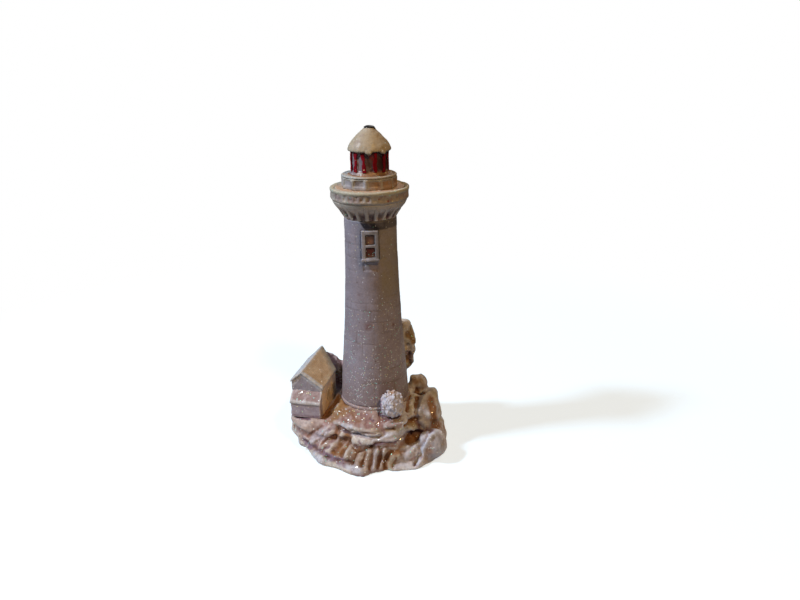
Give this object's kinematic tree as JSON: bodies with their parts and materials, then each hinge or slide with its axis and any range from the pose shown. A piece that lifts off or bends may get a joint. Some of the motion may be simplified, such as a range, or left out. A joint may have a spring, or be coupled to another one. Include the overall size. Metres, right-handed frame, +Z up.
{
  "type": "lighthouse figurine",
  "caption": "Painted cast lighthouse figurine: tapered round tower with a corbelled gallery and red-barred lantern, beside a small cottage on a craggy rock base.",
  "frame": {"origin": "the tower's axis where it meets the flat underside of the rock", "axes": "+Z up along the tower, +X to the right as seen from the window side, -Y towards the window side"},
  "size_m": [0.0584, 0.055, 0.115],
  "materials": {
    "rock": "painted cream and lilac with brown washes in the hollows",
    "fluted_rock": "cream ridges with orange-brown flutes",
    "ledge_rock": "dusty pink, cream lips, glitter",
    "crag_rock": "cream and brown",
    "bush": "lilac and white dabs, purple in the hollows",
    "cottage_wall": "grey-brown",
    "cottage_roof": "tan with fine grooves",
    "lean_to_wall": "grey with a purple foot",
    "lean_to_roof": "dusty pink with cream rims, glitter",
    "cottage_trim": "pale brown outlines",
    "tower_stone": "lilac-grey with faint courses and glitter",
    "window_trim": "pale cream",
    "window_pane": "dark mauve",
    "gallery_stone": "cream and grey wash",
    "gallery_deck": "dusty pink with glitter",
    "gallery_rim": "cream",
    "pedestal_stone": "lilac-grey panels",
    "lantern_pane": "lilac-grey and dark brown",
    "lantern_bar": "crimson",
    "lantern_roof": "cream, slightly glossy",
    "roof_cap": "black"
  },
  "bodies": {
    "root": {"base_rock": "rock", "fluted_stone": "fluted_rock", "corner_boulder": "rock", "lower_ledge": "ledge_rock", "upper_ledge": "ledge_rock", "right_outcrop": "rock", "right_knob": "rock", "crag_foot": "crag_rock", "crag_middle": "crag_rock", "crag_top": "crag_rock", "saddle_rock": "crag_rock", "saddle_stone": "crag_rock", "bush": "bush", "cottage_walls": "cottage_wall", "cottage_roof": "cottage_roof", "lean_to_walls": "lean_to_wall", "lean_to_roof": "lean_to_roof", "cottage_windows": "cottage_trim", "tower_plinth": "tower_stone", "tower_shaft": "tower_stone", "window_surround": "window_trim", "window_panes": "window_pane", "gallery_bowl": "gallery_stone", "gallery_corbels": "gallery_stone", "gallery_deck": "gallery_deck", "gallery_parapet": "gallery_rim", "lantern_pedestal": "pedestal_stone", "pedestal_cap": "gallery_rim", "lantern_drum": "lantern_pane", "lantern_bars": "lantern_bar", "lantern_roof": "lantern_roof", "roof_cap": "roof_cap"}
  },
  "joints": []
}
